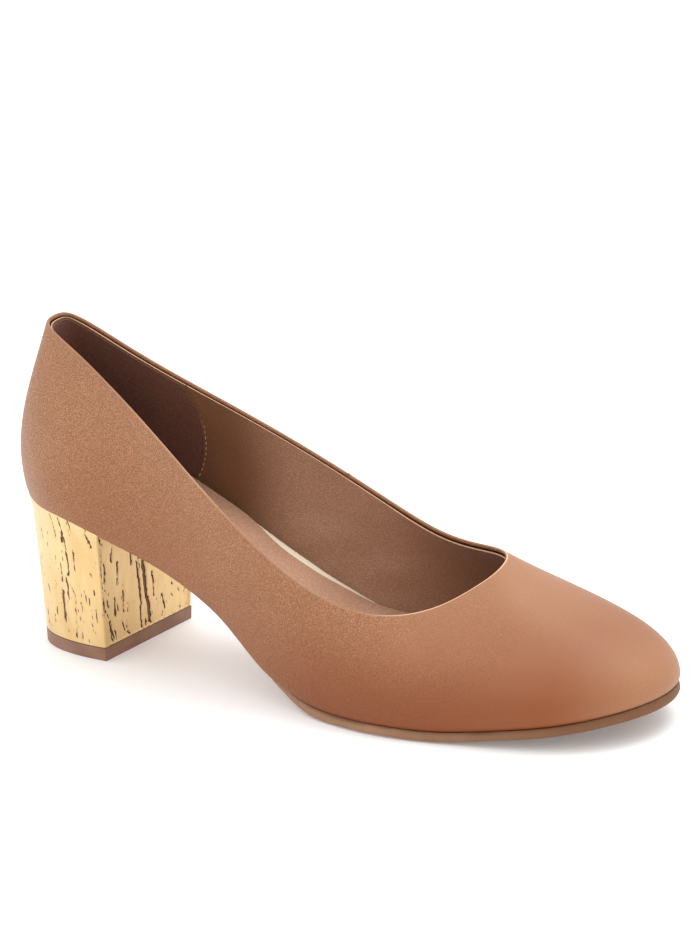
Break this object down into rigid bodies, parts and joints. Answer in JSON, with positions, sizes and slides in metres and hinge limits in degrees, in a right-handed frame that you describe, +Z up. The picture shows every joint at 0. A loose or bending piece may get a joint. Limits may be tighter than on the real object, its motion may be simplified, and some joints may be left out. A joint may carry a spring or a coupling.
{
  "type": "mid heel pump shoe",
  "caption": "Right-foot slip-on pump with a round toe and a low-cut throat: hollow leather upper, padded insole, thin outsole, block heel in gold cork and a rubber top piece.",
  "frame": {"origin": "middle of the shoe's box, on the floor under its sole", "axes": "+X from heel to toe, +Y toward the inner side of the foot, +Z up from the floor"},
  "size_m": [0.247, 0.0788, 0.113],
  "materials": {
    "upper_leather": "fine-grain tan leather, semi-matte",
    "insole_sock": "matte tan sock",
    "outsole_rubber": "matte brown",
    "heel_foil": "gold foil over cork, satin metallic",
    "top_piece_rubber": "matte dark brown"
  },
  "bodies": {
    "root": {"upper": "upper_leather", "insole": "insole_sock", "outsole": "outsole_rubber", "heel": "heel_foil", "top_piece": "top_piece_rubber"}
  },
  "joints": []
}
